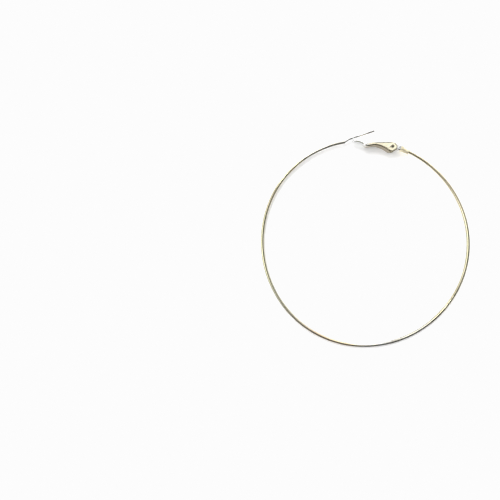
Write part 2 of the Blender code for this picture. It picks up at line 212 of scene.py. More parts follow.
class ClaspSizes(bpy.types.PropertyGroup):
    width: in_mm("Width", "Width of the lever across its cheeks", 3.8)
    barrel_angle: in_degrees("Barrel angle", "Where round the hoop the barrel sits", 67)
    barrel_length: in_mm("Barrel length", "Length of the barrel on the wire's back end", 3.4)
    barrel_diameter: in_mm("Barrel diameter", "Outside of the barrel", 2.1)
    crimp_gap: in_mm("Crimp gap", "Room between the barrel and the wire", 0.1)
    crimp_depth: in_mm("Crimp depth", "Depth of the marks that the crimp leaves", 0.07)
    wire_set_back: in_mm("Wire set back", "From the barrel's mouth to the wire's end", 0.5)
    pivot_reach: in_mm("Pivot reach", "From the barrel's middle along it to the hinge", 4.9)
    pivot_drop: in_mm("Pivot drop", "How far in from the wire's line the hinge lies", 1.1)
    arm_radius: in_mm("Arm radius", "Round end of the bracket's arms", 1.15)
    arm_foot: in_mm("Arm foot", "Height of an arm where it leaves the barrel", 1.5)
    arm_overlap: in_mm("Arm overlap", "How far an arm runs along the barrel", 1.0)
    arm_height: in_mm("Arm height", "From the clasp's middle to the middle of an arm", 1.1)
    floor_to_pivot: in_mm("Floor to pivot", "From the bracket's floor to the hinge", 2.5)
    bracket_sheet: in_mm("Bracket sheet", "Thickness of the bracket's metal", 0.38)
    lever_sheet: in_mm("Lever sheet", "Thickness of the lever's metal", 0.42)
    bend_radius: in_mm("Bend radius", "Middle radius of the bends beside the web", 0.36)
    ear_radius: in_mm("Ear radius", "Round end of the cheeks at the hinge", 1.7)
    cheek_slope: in_degrees("Cheek slope", "How the cheeks' outer edge rises", 14)
    cheek_share: as_share("Cheek length", "Share of the lever that its cheeks run along", 0.66)
    nose_radius: in_mm("Nose radius", "Rounding of the cheeks' far corner", 0.8)
    unroll_length: in_mm("Unroll length", "Past the cheeks, until the sheet is flat", 0.7)
    strip_width: in_mm("Strip width", "Width of the lever past its cheeks", 3.1)
    fork_width: in_mm("Fork width", "Width of the lever at its fork", 2.7)
    grip_distance: in_mm("Grip distance", "From the wire's end to the fork on the post", 3.4)
    flange_drop: in_mm("Flange drop", "From the post down to the foot of the fork", 1.5)
    flange_bend: in_mm("Flange bend", "Rounding of the bend at the fork's foot", 0.5)
    prong_rise: in_mm("Prong rise", "How far the prongs reach past the post", 1.1)
    fork_clearance: in_mm("Fork clearance", "Room between the post and the fork", 0.12)
    fork_mouth: in_mm("Fork mouth", "How much wider the fork's mouth is, each side", 0.45)
    edge_radius: in_mm("Edge radius", "Rounding of the sheet's edges", 0.08)
    pin_diameter: in_mm("Pin diameter", "Thickness of the hinge pin", 0.9)
    pin_clearance: in_mm("Pin clearance", "Room between the pin and its holes", 0.05)
    pin_recess: in_mm("Pin recess", "How far the pin's ends lie below the cheeks", 0.15)
    pin_rounding: in_mm("Pin rounding", "Rounding of the pin's ends", 0.2)
    pin_dish: in_mm("Pin dish", "How far the middle of the pin's ends is sunk", 0.05)


class MetalFinish(bpy.types.PropertyGroup):
    gold: as_colour("Gold", "Pale champagne gold plating", (0.58, 0.513, 0.35))
    olive: as_colour("Olive", "Plating that is thin and looks greener", (0.49, 0.475, 0.33))
    tan: as_colour("Tan", "Plating that has warmed with wear", (0.51, 0.415, 0.30))
    rubbed: as_colour("Rubbed", "Metal where plating is rubbed off", (0.44, 0.435, 0.42))
    # Also laid on stretches of the wire, where it is a painted highlight
    cream: as_colour("Cream", "Plating at its brightest, as on the cheeks", (0.88, 0.81, 0.61))
    # Painted shade, laid on the lever's bends and web near the hinge
    painted_bend_shade: as_colour("Shaded", "Plating dulled on the clasp's bends", (0.42, 0.355, 0.25))
    # Painted shade and painted dark reflection: darkens the lever's rims, a stretch of the wire
    # and the hinge pin
    dirt_and_painted_shade: as_colour("Grimy", "Where dirt has settled, as on cut rims", (0.12, 0.12, 0.065))
    steel: as_colour("Steel", "Bright steel of post and clasp tip", (0.82, 0.825, 0.82))
    roughness: as_share("Roughness", "How matt the polished metal is", 0.09)
    satin: as_share("Satin", "How matt the clasp's pressed sheet is", 0.2)
    wear: as_share("Wear", "How much plating is rubbed off along the edges", 0.7)


class StageLight(bpy.types.PropertyGroup):
    camera_height: in_mm("Camera height", "From the floor up to the camera", 190)
    camera_x: in_mm("Camera X", "Camera's place across the frame", -43.83, lowest=-1000)
    camera_y: in_mm("Camera Y", "Camera's place up the frame", -4.21, lowest=-1000)
    lens: number("Lens", "Focal length on a 36 mm sensor", 35.7, 1.0, unit="CAMERA")
    floor_tone: as_share("Floor tone", "How pale the floor is", 0.92)
    room_glow: as_share("Room glow", "Brightness of the room round the stage", 0.01)
    lamp_glow: number("Lamp glow", "Brightness of the small soft lamp", 8.0)
    ceiling_glow: number("Ceiling glow", "Brightness of the panel in the flat cheeks", 1.2)
    wall_glow: number("Wall glow", "Brightness of the soft light at the left", 4.6)
    window_glow: number("Window glow", "Brightness of the wide low window light", 8.5)
    table_glow: number("Table glow", "Light that comes through the paper", 0.21)
    paper_white: as_share("Paper white", "Brightest tone in the picture", 0.974)


# Places on the flat drawing of the hoop

def polar(radius, angle):
    return Vector((radius * math.cos(angle), radius * math.sin(angle), 0.0))


def wander(angle):
    """How far the hand-bent wire strays from a true circle."""
    hoop = bpy.context.scene.earring_hoop
    oval = hoop.oval_bow * math.cos(2 * (angle - hoop.oval_angle))
    return oval + hoop.lobe_bow * math.cos(3 * (angle - hoop.lobe_angle))


def wire_point(angle):
    return polar(bpy.context.scene.earring_hoop.radius + wander(angle), angle)


def post_line():
    """The post's foot on the wire's end, its knee and its tip, and the wire's heading there."""
    hoop = bpy.context.scene.earring_hoop
    foot = wire_point(hoop.front_angle)
    heading = heading_of(foot - wire_point(hoop.front_angle + 3 * DEG))
    knee = foot + polar(hoop.post_foot, heading + hoop.post_foot_lift)
    tip = knee + polar(hoop.post_length - hoop.post_foot, heading + hoop.post_lift)
    return foot, knee, tip, heading


def grip_point():
    """The place on the post that the lever's fork straddles, and the post's direction there."""
    scene = bpy.context.scene
    _, knee, tip, _ = post_line()
    along = (tip - knee).normalized()
    reach = scene.earring_clasp.grip_distance - scene.earring_hoop.post_foot
    return knee + along * reach, along


def barrel_matrix():
    """The barrel's middle, X along the wire to the hinge and Y in to the hoop's middle."""
    angle = bpy.context.scene.earring_clasp.barrel_angle
    return Matrix.Translation(wire_point(angle)) @ Matrix.Rotation(angle + 90 * DEG, 4, "Z")


def pivot_point():
    clasp = bpy.context.scene.earring_clasp
    return barrel_matrix() @ Vector((clasp.pivot_reach, clasp.pivot_drop, 0.0))


def lever_matrix():
    """The hinge's middle, X along the closed lever to the post and Y in to the middle."""
    reach = grip_point()[0] - pivot_point()
    return Matrix.Translation(pivot_point()) @ Matrix.Rotation(heading_of(reach), 4, "Z")


def lever_length():
    return (grip_point()[0] - pivot_point()).length


def resting_matrix():
    """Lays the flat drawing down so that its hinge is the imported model's hinge."""
    axis = Vector(HINGE_JOINT["axis"])
    tilt = Vector((0.0, 0.0, 1.0)).rotation_difference(axis).to_matrix().to_4x4()
    return Matrix.Translation(Vector(HINGE_JOINT["pos_m"]) - tilt @ pivot_point()) @ tilt


# Lines

def heading_of(step):
    return math.atan2(step.y, step.x)


def smooth_line(points, steps):
    """Points along a Catmull-Rom curve through the given points."""
    padded = [2 * points[0] - points[1], *points, 2 * points[-1] - points[-2]]
    line = []
    for before, start, end, after in zip(padded, padded[1:], padded[2:], padded[3:]):
        for step in range(steps):
            t = step / steps
            line.append(0.5 * (2 * start + (end - before) * t
                               + (2 * before - 5 * start + 4 * end - after) * t ** 2
                               + (3 * start - before - 3 * end + after) * t ** 3))
    line.append(points[-1])
    return line


def rounded_corner(before, corner, after, radius, steps):
    """Points of the arc that rounds a corner of a flat line."""
    to_before = (before - corner).normalized()
    to_after = (after - corner).normalized()
    half = to_before.angle(to_after) / 2
    middle = corner + (to_before + to_after).normalized() * radius / math.sin(half)
    start = corner + to_before * radius / math.tan(half) - middle
    end = corner + to_after * radius / math.tan(half) - middle
    return [middle + start.slerp(end, step / steps).normalized() * radius
            for step in range(steps + 1)]


def arc(centre, radius, start, end, steps):
    return [centre + polar(radius, start + (end - start) * step / steps)
            for step in range(steps + 1)]


def tangent_angle(centre, radius, point, side):
    """Angle on a circle where the straight line from a point touches it."""
    away = point - centre
    return heading_of(away) + side * math.acos(radius / away.length)


def side_of(line, index):
    """Unit vector to the left of a line at one of its points."""
    along = line[min(index + 1, len(line) - 1)] - line[max(index - 1, 0)]
    return Vector((-along.y, along.x, 0.0)).normalized()


def place_at(line, x):
    """The place on a line at an x, and the unit vector to the line's left there."""
    for index in range(len(line) - 1):
        start, end = line[index], line[index + 1]
        if start.x <= x <= end.x and start.x < end.x:
            share = (x - start.x) / (end.x - start.x)
            side = side_of(line, index).slerp(side_of(line, index + 1), share)
            return start.lerp(end, share), side
    return line[-1], side_of(line, len(line) - 1)


# Modelling by hand: every step below acts on what is selected

def deselect_everything():
    if bpy.context.object and bpy.context.object.mode != "OBJECT":
        bpy.ops.object.mode_set(mode="OBJECT")
    bpy.ops.object.select_all(action="DESELECT")


def take_up(piece):
    """Makes the piece the only selected object, and the active one."""
    deselect_everything()
    piece.select_set(True)
    bpy.context.view_layer.objects.active = piece


def edit_all(piece):
    """Opens the piece in edit mode with all of it selected."""
    take_up(piece)
    bpy.ops.object.mode_set(mode="EDIT")
    bpy.ops.mesh.select_all(action="SELECT")


def leave_edit():
    bpy.ops.object.mode_set(mode="OBJECT")


def select(piece, kind, wanted):
    """Selects the points, edges or faces that pass a test, and stays in edit mode.

    The test is given a point's place, the places of an edge's ends, or a face's normal.
    """
    edit_all(piece)
    bpy.ops.mesh.select_mode(type=kind)
    bpy.ops.mesh.select_all(action="DESELECT")
    leave_edit()
    mesh = piece.data
    if kind == "VERT":
        parts = [(point, [point.co]) for point in mesh.vertices]
    elif kind == "EDGE":
        parts = [(edge, [mesh.vertices[end].co for end in edge.vertices]) for edge in mesh.edges]
    else:
        parts = [(face, [face.normal]) for face in mesh.polygons]
    for part, measures in parts:
        part.select = wanted(*measures)
    bpy.ops.object.mode_set(mode="EDIT")


def add_object(name, operator, **settings):
    """Adds an object with one of Blender's own operators, with nothing else selected."""
    deselect_everything()
    operator(**settings)
    bpy.context.object.name = name
    return bpy.context.object


def bevel_edges(piece, wanted, width, steps):
    """Bevels the edges whose two ends pass a test."""
    select(piece, "EDGE", wanted)
    bpy.ops.mesh.bevel(offset=width, segments=steps, affect="EDGES")
    leave_edit()


def extrude_ring(stations):
    """Draws the selected ring along stations, each a middle, a heading and a radius."""
    for (start, old_heading, old_radius), (end, heading, radius) in zip(stations, stations[1:]):
        bpy.ops.mesh.extrude_region_move(TRANSFORM_OT_translate={"value": end - start})
        if heading != old_heading:
            # Without a window Blender turns the other way round
            bpy.ops.transform.rotate(value=old_heading - heading, orient_axis="Z",
                                     center_override=end)
        if radius != old_radius:
            share = radius / old_radius
            bpy.ops.transform.resize(value=(share, share, share), center_override=end)


def apply_modifier(piece, kind, **settings):
    """Adds a modifier with its settings and applies it."""
    take_up(piece)
    modifier = piece.modifiers.new(kind.lower(), kind)
    for name, value in settings.items():
        setattr(modifier, name, value)
    bpy.ops.object.modifier_apply(modifier=modifier.name)


def cut_or_join(piece, other, operation):
    """A Boolean with another shape, which is used up."""
    apply_modifier(piece, "BOOLEAN", object=other, operation=operation, solver="EXACT")
    bpy.data.objects.remove(other, do_unlink=True)


def new_cylinder(name, radius, length, sides=HOLE_SIDES, along_x=False):
    """A closed cylinder about the origin, along Z or along X."""
    piece = add_object(name, bpy.ops.mesh.primitive_cylinder_add, vertices=sides,
                       radius=radius, depth=length, end_fill_type="NGON",
                       rotation=(0.0, 90 * DEG if along_x else 0.0, 0.0))
    bpy.ops.object.transform_apply(location=True, rotation=True, scale=True)
    return piece


def pin_hole(length):
    clasp = bpy.context.scene.earring_clasp
    return new_cylinder("pin_hole", clasp.pin_diameter / 2 + clasp.pin_clearance, length)


def close_up(piece, drop_slivers=False):
    """Merges doubled points and turns every face outwards."""
    edit_all(piece)
    bpy.ops.mesh.remove_doubles(threshold=MERGE_DISTANCE)
    if drop_slivers:
        bpy.ops.mesh.dissolve_degenerate(threshold=MERGE_DISTANCE)
    bpy.ops.mesh.normals_make_consistent(inside=False)
    leave_edit()


def finish_piece(piece, name, matrix, body, node, materials):
    """Lays the piece in its place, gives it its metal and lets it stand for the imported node."""
    take_up(piece)
    piece.name = name
    piece.data.name = name
    piece.matrix_world = resting_matrix() @ matrix
    bpy.ops.object.transform_apply(location=True, rotation=True, scale=True)
    bpy.ops.object.shade_smooth_by_angle(angle=SMOOTH_ANGLE)
    for material in materials:
        piece.data.materials.append(material)
    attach(piece, body)
    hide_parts(node)
    deselect_everything()


def pressed_channel(name, rows, sheet):
    """A sheet bent into a U, its edges still sharp: a web with a cheek along each side."""
    across = 2 * (BEND_STEPS + 2) - 1
    piece = add_object(name, bpy.ops.mesh.primitive_grid_add, size=1.0,
                       x_subdivisions=len(rows) - 1, y_subdivisions=across)
    for point in piece.data.vertices:
        row = rows[round((point.co.x + 0.5) * (len(rows) - 1))]
        column = round((point.co.y + 0.5) * across)
        side = 1 if column < across / 2 else -1
        inwards = min(column, across - column)
        share = 1 - max(inwards - 1, 0) / BEND_STEPS
        rise = 0.0
        run = row.bend * share
        if row.turn > 0.5 * DEG:
            radius = row.bend / row.turn
            rise = radius * (1 - math.cos(row.turn * share))
            run = radius * math.sin(row.turn * share)
        place = row.web + row.outward * rise
        if inwards == 0 and row.edge is not None:
            place = row.edge
        point.co = (place.x, place.y, side * (row.flat + run))

    close_up(piece, drop_slivers=True)
    apply_modifier(piece, "SOLIDIFY", thickness=sheet, offset=0.0, use_even_offset=True,
                   use_quality_normals=True)
    edit_all(piece)
    bpy.ops.mesh.normals_make_consistent(inside=False)
    bpy.ops.mesh.dissolve_limited(angle_limit=0.2 * DEG)
    leave_edit()
    return piece


def round_edges(piece, radius):
    """Rounds every edge where the surface turns sharply."""
    apply_modifier(piece, "BEVEL", width=radius, segments=3, limit_method="ANGLE",
                   angle_limit=SHARP_ANGLE, use_clamp_overlap=False)
    apply_modifier(piece, "WEIGHTED_NORMAL", keep_sharp=True)


def press_mark(piece, centre, push, reach):
    """Pushes the points round a place, most at its middle and none past its reach."""
    for point in piece.data.vertices:
        share = (point.co - centre).length / reach
        if share < 1:
            point.co += push * (1 - share * share) ** 2


# Metals

def opaque(colour):
    return colour if isinstance(colour, bpy.types.NodeSocket) else (*colour, 1.0)


class Nodes:
    """Adds nodes to a shader tree. A value is a number, a colour or another node's socket."""

    def __init__(self, tree):
        self.tree = tree

    def feed(self, node, values):
        for key, value in values.items():
            if isinstance(value, bpy.types.NodeSocket):
                self.tree.links.new(value, node.inputs[key])
            else:
                node.inputs[key].default_value = value

    def add(self, kind, values=None, **settings):
        node = self.tree.nodes.new("ShaderNode" + kind)
        for name, value in settings.items():
            setattr(node, name, value)
        self.feed(node, values or {})
        return node

    def math(self, operation, first, second=0.0, clamp=False):
        values = {0: first, 1: second}
        return self.add("Math", values, operation=operation, use_clamp=clamp).outputs[0]

    def times(self, first, *others):
        """The product of two values or more."""
        for other in others:
            first = self.math("MULTIPLY", first, other)
        return first

    def vector(self, operation, first, second=(0.0, 0.0, 0.0)):
        """A sum on vectors, which gives a number for a length or a dot product."""
        node = self.add("VectorMath", {0: first, 1: second}, operation=operation)
        return node.outputs["Value" if operation in ("LENGTH", "DOT_PRODUCT") else "Vector"]

    def mix(self, share, first, second):
        values = {0: share, 6: opaque(first), 7: opaque(second)}
        return self.add("Mix", values, data_type="RGBA").outputs[2]

    def ramp(self, value, low, high, start=0.0, end=1.0):
        """A value eased from start to end while the input goes from low to high."""
        values = {"Value": value, "From Min": low, "From Max": high,
                  "To Min": start, "To Max": end}
        return self.add("MapRange", values, interpolation_type="SMOOTHSTEP").outputs[0]

    def noise(self, place, scale, detail, roughness=0.55):
        values = {"Vector": place, "Scale": scale, "Detail": detail, "Roughness": roughness}
        return self.add("TexNoise", values).outputs["Fac"]

    def brushed(self, place, stretch, scale, detail):
        """Noise drawn out into fine lines."""
        stretched = self.add("Mapping", {"Vector": place, "Scale": stretch}).outputs[0]
        return self.noise(stretched, scale, detail)


class Surface(Nodes):
    """A new material with its shader and the object's own coordinates."""

    def __init__(self, name, metallic=1.0):
        self.material = bpy.data.materials.new(name)
        self.material.use_nodes = True
        super().__init__(self.material.node_tree)
        self.shader = self.tree.nodes["Principled BSDF"]
        self.shader.inputs["Metallic"].default_value = metallic
        self.place = self.add("TexCoord").outputs["Object"]

    def local(self, matrix):
        """The object's coordinates turned into a piece's own drawing frame."""
        values = {"Vector": self.place, "Location": matrix.to_translation(),
                  "Rotation": matrix.to_euler()}
        return self.add("Mapping", values, vector_type="TEXTURE").outputs[0]

    def patches(self, scale, detail, *turn):
        return self.ramp(self.noise(self.place, scale, detail), *turn)

    def edge_wear(self):
        """1 along edges that are rubbed bright and 0 on the open surface, broken by noise."""
        rounded = self.add("Bevel", {"Radius": WEAR_RADIUS}, samples=6).outputs[0]
        facing = self.add("NewGeometry").outputs["Normal"]
        edge = self.ramp(self.vector("DOT_PRODUCT", rounded, facing), 0.995, 0.90)
        wear = bpy.context.scene.earring_finish.wear
        return self.times(edge, self.patches(*WORN_EDGES), wear)

    def off_flats(self, matrix):
        """0 on faces square to a drawing frame's Z, such as the clasp's flat sides, else 1."""
        facing = self.add("TexCoord").outputs["Normal"]
        across = matrix.to_3x3() @ Vector((0.0, 0.0, 1.0))
        same = self.vector("DOT_PRODUCT", facing, across)
        return self.ramp(self.math("ABSOLUTE", same), 0.96, 0.6)

    def finish_metal(self, colour, worn, roughness, grain, grain_depth):
        """Links colour, roughness and the fine relief that all the metals share."""
        clouds = self.patches(*CLOUDS)
        toned = self.add("HueSaturation", {"Value": clouds, "Color": colour}).outputs[0]
        smears = self.patches(*SMEARS)
        matt = self.math("ADD", self.times(smears, roughness),
                         self.times(worn, WORN_ROUGHNESS), clamp=True)
        dents = self.noise(self.place, scale=900.0, detail=2.0)
        dented = self.add("Bump", {"Height": dents, "Strength": 0.15,
                                   "Distance": DENT_DEPTH}).outputs[0]
        relief = self.add("Bump", {"Height": grain, "Strength": 0.3, "Distance": grain_depth,
                                   "Normal": dented}).outputs[0]
        self.feed(self.shader, {"Base Color": toned, "Roughness": matt, "Normal": relief})
        return self.material


def wire_metal():
    """Gold plating on drawn wire: fine lines run along it, and its tone drifts round it."""
    finish = bpy.context.scene.earring_finish
    metal = Surface("champagne_gold_plating")
    centred = metal.vector("SUBTRACT", metal.place, resting_matrix().translation)
    x, y, z = metal.add("SeparateXYZ", {0: centred}).outputs
    across = 700.0
    drawn = metal.add("CombineXYZ", {
        0: metal.math("ARCTAN2", y, x),
        1: metal.times(metal.vector("LENGTH", centred), across),
        2: metal.times(z, across)}).outputs[0]
    lines = metal.noise(drawn, scale=14.0, detail=4.0, roughness=0.6)

    flat = metal.vector("MULTIPLY", centred, (1.0, 1.0, 0.0))
    direction = metal.vector("NORMALIZE", flat)
    tone = metal.mix(metal.patches(*OLIVE_DRIFT), finish.gold, finish.olive)
    patches = metal.patches(*STRETCH_PATCHES)
    # Each stretch lays its tone on the wire: the cream stretches paint highlights, the stretch at
    # 303 degrees paints shade
    for name, middle, half, fade, fullness in TONE_AND_PAINTED_LIGHT_STRETCHES:
        near = metal.vector("DOT_PRODUCT", direction, polar(1.0, middle * DEG))
        stretch = metal.ramp(near, math.cos((half + fade) * DEG), math.cos(half * DEG),
                             0.0, fullness)
        tone = metal.mix(metal.times(stretch, patches), tone, getattr(finish, name))
    worn = metal.patches(*WORN_SPOTS)
    return metal.finish_metal(tone, worn, finish.roughness, lines, DRAWN_LINE_DEPTH)


def post_metal():
    """Bare bright steel, with fine lines and a little solder at the foot."""
    finish = bpy.context.scene.earring_finish
    metal = Surface("ear_post_steel")
    foot, _, tip, _ = post_line()
    turn = Matrix.Rotation(heading_of(tip - foot), 4, "Z")
    local = metal.local(resting_matrix() @ Matrix.Translation(foot) @ turn)
    lines = metal.brushed(local, (0.06, 1.0, 1.0), scale=9000.0, detail=3.0)
    along = metal.add("SeparateXYZ", {0: local}).outputs[0]
    solder = metal.ramp(along, *SOLDER_TONE)
    polish = metal.times(metal.ramp(along, *POLISH_STARTS),
                         metal.ramp(along, *POLISH_ENDS, 0.0, 0.7))
    bare = metal.mix(polish, finish.rubbed, finish.steel)
    tone = metal.mix(metal.times(solder, 0.8), bare, finish.rubbed)
    return metal.finish_metal(tone, solder, finish.roughness, lines, BRUSHED_LINE_DEPTH)


def lever_metal():
    """Pressed and polished sheet: cream gold at the hinge, silvery towards the fork."""
    finish = bpy.context.scene.earring_finish
    clasp = bpy.context.scene.earring_clasp
    metal = Surface("pressed_lever_plating")
    frame_of_lever = resting_matrix() @ lever_matrix()
    local = metal.local(frame_of_lever)
    along, inward, _ = metal.add("SeparateXYZ", {0: local}).outputs
    length = lever_length()

    def at_shares(low, high):
        return metal.ramp(along, low * length, high * length)

    patches = metal.noise(metal.place, scale=320.0, detail=4.0)
    ragged = metal.times(metal.math("SUBTRACT", patches, 0.5), 0.35 * length)
    silver = metal.ramp(metal.math("ADD", along, ragged),
                        *(length * part for part in SILVER_SHARES))
    plating = metal.mix(silver, finish.cream, finish.steel)
    worn = metal.edge_wear()
    plating = metal.mix(worn, plating, finish.rubbed)
    turned = metal.off_flats(frame_of_lever)
    # Painted shade: the bends and web from the hinge to about half way along take a dull tan
    # where shade falls
    bends = metal.times(turned, at_shares(*SHADE_END_SHARES), metal.ramp(along, *SHADE_STARTS))
    plating = metal.mix(bends, plating, finish.painted_bend_shade)

    # Painted reflection: a dark line along the cheeks' outer rim and along the strip's cut rim,
    # broken into knots, stands for the dark overhead that these rims mirror
    shoulder = polar(clasp.ear_radius, -90 * DEG + clasp.cheek_slope)
    slope = math.tan(clasp.cheek_slope)
    from_rim = metal.math("SUBTRACT", inward, metal.times(along, slope))
    from_rim = metal.math("SUBTRACT", from_rim, shoulder.y - shoulder.x * slope)
    rim = metal.times(metal.ramp(from_rim, *RIM_WIDTH), metal.ramp(along, *RIM_STARTS),
                      at_shares(*RIM_END_SHARES))
    past_cheeks = at_shares(clasp.cheek_share - 0.02, clasp.cheek_share + 0.02)
    strip_rim = metal.times(past_cheeks, metal.math("SUBTRACT", 1.0, turned),
                            at_shares(*STRIP_RIM_END_SHARES), metal.patches(*RIM_KNOTS))
    painted_rim_reflection = metal.math("MAXIMUM", rim, strip_rim)
    tone = metal.mix(painted_rim_reflection, plating, finish.dirt_and_painted_shade)
    lines = metal.brushed(local, (0.08, 1.0, 1.0), scale=7000.0, detail=4.0)
    return metal.finish_metal(tone, worn, finish.satin, lines, BRUSHED_LINE_DEPTH)


def bracket_metal():
    """Plating that is whole and matt on the barrel, and thin and smooth on the arms."""
    finish = bpy.context.scene.earring_finish
    metal = Surface("bracket_plating")
    local = metal.local(resting_matrix() @ barrel_matrix())
    along = metal.add("SeparateXYZ", {0: local}).outputs[0]
    barrel_length = bpy.context.scene.earring_clasp.barrel_length
    thin = metal.ramp(along, *(barrel_length * part for part in THIN_SHARES))
    plating = metal.mix(thin, finish.cream, finish.steel)
    worn = metal.edge_wear()
    tone = metal.mix(worn, plating, finish.rubbed)
    lines = metal.brushed(local, (1.0, 0.1, 0.1), scale=6000.0, detail=4.0)
    matt_barrel = finish.satin * 3.2
    matt = metal.math("SUBTRACT", matt_barrel, metal.times(thin, 0.5))
    return metal.finish_metal(tone, worn, matt, lines, BRUSHED_LINE_DEPTH)


def pin_metal():
    """Satin steel with stain and painted shade, its ends marked by rings from the rivet hammer.
    """
    finish = bpy.context.scene.earring_finish
    metal = Surface("hinge_pin_satin_steel")
    values = {"Vector": metal.local(resting_matrix() @ lever_matrix()), "Scale": 2600.0,
              "Distortion": 3.0, "Detail": 2.0}
    rings = metal.add("TexWave", values, wave_type="RINGS", rings_direction="Z").outputs["Fac"]
    # Dark patches on the pin: partly a stain, partly painted shade for the dark round it in its
    # hole
    tone = metal.mix(metal.patches(*RIVET_STAIN_AND_SHADE), finish.dirt_and_painted_shade, finish.rubbed)
    return metal.finish_metal(tone, worn=0.5, roughness=0.26, grain=rings,
                              grain_depth=RIVET_RING_DEPTH)


def paper_floor():
    """Matt white paper with a little light behind it."""
    stage = bpy.context.scene.earring_stage
    paper = Surface("pale_paper", metallic=0.0)
    fibres = paper.noise(paper.place, scale=2500.0, detail=4.0)
    dark, light = ([stage.floor_tone * share for share in tint]
                   for tint in (PAPER_DARK, PAPER_LIGHT))
    relief = paper.add("Bump", {"Height": fibres, "Strength": 0.08,
                                "Distance": PAPER_DEPTH}).outputs[0]
    paper.feed(paper.shader, {"Base Color": paper.mix(fibres, dark, light), "Normal": relief,
                              "Emission Color": opaque(light),
                              "Emission Strength": stage.table_glow,
                              "Roughness": 0.85, "Specular IOR Level": 0.15})
    return paper.material


# Pieces

class EARRING_OT_hoop_wire(bpy.types.Operator):
    """Spin the hoop's round wire and draw the ear post out of its front end"""
    bl_idname = "earring.hoop_wire"
    bl_label = "Hoop wire and post"

    def execute(self, context):
        hoop = context.scene.earring_hoop
        clasp = context.scene.earring_clasp
        radius = hoop.wire_diameter / 2
        set_in = clasp.barrel_length / 2 - clasp.wire_set_back
        back_angle = 360 * DEG + clasp.barrel_angle + set_in / hoop.radius

        wire = add_object("wire", bpy.ops.mesh.primitive_circle_add, vertices=WIRE_SIDES,
                          radius=radius, fill_type="NOTHING",
                          location=polar(hoop.radius, back_angle),
                          rotation=(90 * DEG, 0.0, back_angle))
        bpy.ops.object.transform_apply(location=True, rotation=True, scale=True)
        edit_all(wire)
        bpy.ops.mesh.spin(steps=HOOP_STEPS, angle=back_angle - hoop.front_angle,
                          center=(0.0, 0.0, 0.0), axis=(0.0, 0.0, 1.0))
        leave_edit()
        for point in wire.data.vertices:
            angle = heading_of(point.co)
            point.co += polar(wander(angle), angle)
        bpy.ops.object.mode_set(mode="EDIT")
        extrude_ring(self.post_stations(hoop, radius))
        bpy.ops.mesh.edge_face_add()

        bpy.ops.mesh.select_all(action="DESELECT")
        bpy.ops.mesh.select_non_manifold()
        start = wire_point(back_angle)
        heading = back_angle + 90 * DEG
        rings = [(start + polar(radius * out, heading), heading, radius * narrow)
                 for out, narrow in WIRE_END_RINGS]
        extrude_ring([(start, heading, radius), *rings])
        bpy.ops.mesh.edge_face_add()
        close_up(wire)
        finish_piece(wire, "gold_wire_hoop_and_post", Matrix.Identity(4), "hoop", "hoop_wire",
                     (wire_metal(), post_metal()))
        self.mark_post(wire, hoop)
        return {"FINISHED"}

    @staticmethod
    def post_stations(hoop, radius):
        """Rings from the wire's end through the solder and round the knee to the tip."""
        foot, knee, tip, heading = post_line()
        thin = hoop.post_diameter / 2
        rise = (knee - foot).normalized()
        stations = [(foot, heading, radius)]
        for run, slimming, turned in SOLDER_RINGS:
            stations.append((foot + rise * hoop.solder_length * run,
                             heading + hoop.post_foot_lift * turned,
                             radius + (thin - radius) * slimming))
        knee_arc = rounded_corner(foot, knee, tip, hoop.post_foot, KNEE_STEPS)
        for step, place in enumerate(knee_arc):
            lift = (hoop.post_lift - hoop.post_foot_lift) * (step / KNEE_STEPS)
            stations.append((place, heading + hoop.post_foot_lift + lift, thin))
        end_heading = heading + hoop.post_lift
        along = (tip - knee).normalized()
        straight = (tip - knee_arc[-1]).length
        for share in (0.3, 0.6, 0.9):
            stations.append((knee_arc[-1] + along * straight * share, end_heading, thin))
        for back, narrow in POST_TIP_RINGS:
            stations.append((tip - along * hoop.post_diameter * back, end_heading,
                             thin * narrow))
        return stations

    @staticmethod
    def mark_post(wire, hoop):
        """Gives the faces past the wire's end the post's steel."""
        foot, knee, _, _ = post_line()
        lie = resting_matrix()
        start = lie @ foot
        along = (lie @ knee - start).normalized()
        for face in wire.data.polygons:
            away = face.center - start
            near = away.length < hoop.post_length * 1.05
            if near and away.dot(along) > hoop.solder_length * 0.3:
                face.material_index = 1


